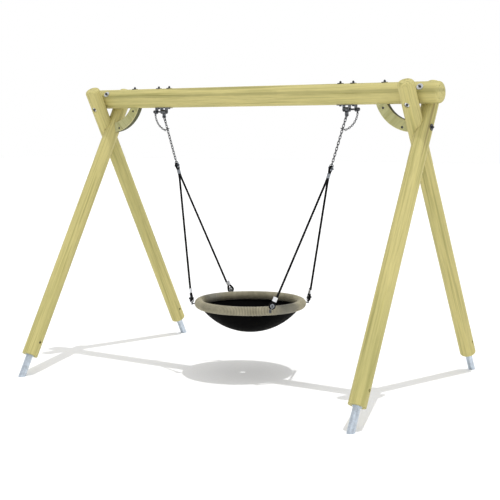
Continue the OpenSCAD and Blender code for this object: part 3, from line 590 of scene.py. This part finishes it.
def rope_loops(material):
    """The rope eyes at the ring and at the apexes."""
    place = (
        AT_FIXING @ Matrix.Translation((0, 0, RING_HOLE_RUN)) @ Matrix.Rotation(math.radians(90), 4, "Z")
    )
    low = [place @ p for p in eye_points()]
    for side_name, side in SIDES.items():
        for end_name, end in ENDS.items():
            name = f"rope_eye_{side_name}_{end_name}"
            made = strand_rope(name, mirrored(low, side, end), LAID_R, material, step=0.0025)
            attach(made, "nest")
            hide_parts("rope_eyes")
    hang = (
        Matrix.Translation((HANGER_X, 0, EYE_Z)) @ Matrix.Rotation(HANG_LEAN, 4, "Y")
        @ Matrix.Translation((0, 0, -APEX_HOLE_RUN)) @ Matrix.Scale(-1, 4, (0, 0, 1))
    )
    high = [hang @ p for p in eye_points()]
    for side_name, side in SIDES.items():
        name = f"apex_eye_{side_name}"
        # at its nominal size, to stay clear of the chain when the nest rocks
        made = strand_rope(name, mirrored(high, side, 1), ROPE_R, material, step=0.0025)
        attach(made, "nest")
        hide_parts("apex_eyes")


# ---------- ring and bowl ----------

def winding(material):
    """Rope wound tightly round the padded ring: one torus with a rounded ridge for each turn."""
    turns = 232
    per_turn = 6
    around = turns * per_turn
    sides = 40
    ridge = 0.0040
    mean = SECTION_R - ridge / 2
    verts, faces, heights = [], [], []
    for i in range(around):
        base_a = 2 * math.pi * i / around
        for k in range(sides):
            b = 2 * math.pi * k / sides
            # each turn climbs on by one ridge as it goes round the section
            phase = i / per_turn - b / (2 * math.pi)
            rise = abs(math.cos(math.pi * phase)) - 0.5
            heights.append(rise + 0.5)
            r = mean + ridge * rise
            x = RING_R + r * math.cos(b)
            verts.append((x * math.cos(base_a), x * math.sin(base_a), RING_Z + r * math.sin(b)))
    for i in range(around):
        for k in range(sides):
            a = i * sides + k
            b = i * sides + (k + 1) % sides
            c = ((i + 1) % around) * sides
            faces.append((a, c + k, c + (k + 1) % sides, b))
    made = add_mesh("ring_rope_winding", verts, faces, material)
    groove = made.data.attributes.new("ridge_height", "FLOAT", "POINT")
    groove.data.foreach_set("value", heights)
    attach(made, "nest")
    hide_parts("ring_winding")
    return made


def bowl(material):
    """Black membrane bowl with a turned rim under the ring, and a drain hole. The rim's lacing is not modelled."""
    low_corner, high_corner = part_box("basket")
    floor = low_corner.z
    rim_z = high_corner.z
    rim_r = (high_corner.x - low_corner.x) / 2
    rise = rim_z - floor
    ball = (rim_r ** 2 + rise ** 2) / (2 * rise)
    wall = 0.006
    rings, sides = 40, 192
    hole = 0.025
    profile = []
    half = math.asin(rim_r / ball)
    first = math.asin(hole / ball)
    for i in range(rings + 1):
        a = first + (half - first) * i / rings
        profile.append((ball * math.sin(a), floor + ball * (1 - math.cos(a))))
    inner = ball - wall
    lip = 0.004
    top = math.asin(min(1, (rim_r - lip) / inner))
    for i in range(rings + 1):
        a = top + (first - top) * i / rings
        profile.append((inner * math.sin(a), floor + ball - inner * math.cos(a)))
    verts, faces = [], []
    count = len(profile)
    for k in range(sides):
        turn = 2 * math.pi * k / sides
        for r, z in profile:
            verts.append((r * math.cos(turn), r * math.sin(turn), min(z, rim_z)))
    for k in range(sides):
        for i in range(count):
            a = k * count + i
            b = k * count + (i + 1) % count
            c = ((k + 1) % sides) * count
            faces.append((a, c + i, c + (i + 1) % count, b))
    made = add_mesh("bowl", verts, faces, material)
    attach(made, "nest")
    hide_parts("basket")


# ---------- stage ----------

def make_stage():
    """Pale floor and backdrop, one soft sun from nearly overhead, and white surroundings."""
    s = Shade("floor_pale")
    grain = s.noise(s.place(), 40, 2, 0.5)
    tone = s.ramp(grain.outputs["Fac"], [(0.3, grey(0.93)), (0.7, grey(0.96))])
    s.put("Base Color", tone.outputs["Color"])
    s.shader.inputs["Roughness"].default_value = 0.9
    s.shader.inputs["Specular IOR Level"].default_value = 0.1
    mesh = bmesh.new()
    bmesh.ops.create_grid(mesh, x_segments=1, y_segments=1, size=60)
    data = bpy.data.meshes.new("floor")
    mesh.to_mesh(data)
    mesh.free()
    floor = bpy.data.objects.new("floor", data)
    floor.location = (0, 0, -0.0005)
    data.materials.append(s.material)
    scene.collection.objects.link(floor)

    sun = bpy.data.lights.new("sun", "SUN")
    sun.energy = 1.45
    sun.angle = math.radians(0.6)
    lamp = bpy.data.objects.new("sun", sun)
    falls = Vector((-0.18, -0.062, -1.0))
    lamp.rotation_mode = "QUATERNION"
    lamp.rotation_quaternion = falls.to_track_quat("-Z", "Y")
    scene.collection.objects.link(lamp)

    front = bpy.data.lights.new("front_soft", "AREA")
    front.energy = 60
    front.size = 7
    panel = bpy.data.objects.new("front_soft", front)
    panel.location = (4.5, -9.0, 4.5)
    panel.rotation_mode = "QUATERNION"
    panel.rotation_quaternion = (Vector((0, 0, 1.2)) - panel.location).to_track_quat("-Z", "Y")
    scene.collection.objects.link(panel)

    world = bpy.data.worlds.new("World")
    world.use_nodes = True
    # white walls up to about 15 degrees, and a softer ceiling above them
    tree = world.node_tree
    where = tree.nodes.new("ShaderNodeTexCoord")
    parts = tree.nodes.new("ShaderNodeSeparateXYZ")
    height = tree.nodes.new("ShaderNodeMapRange")
    height.inputs["From Min"].default_value = 0.20
    height.inputs["From Max"].default_value = 0.35
    height.inputs["To Min"].default_value = 1.0
    height.inputs["To Max"].default_value = 0.84
    tree.links.new(where.outputs["Generated"], parts.inputs[0])
    tree.links.new(parts.outputs["Z"], height.inputs["Value"])
    tree.links.new(height.outputs["Result"], tree.nodes["Background"].inputs["Strength"])
    tree.nodes["Background"].inputs["Color"].default_value = (1, 1, 1, 1)
    scene.world = world
    scene.view_settings.view_transform = "Standard"
    scene.view_settings.look = "None"


black = rope_material("rope_black", (0.006, 0.006, 0.007), 0.02)
ropes(black)
rope_loops(black)
paint_timber()
paint_steel()
winding(winding_material())
bowl(bowl_material())
make_stage()
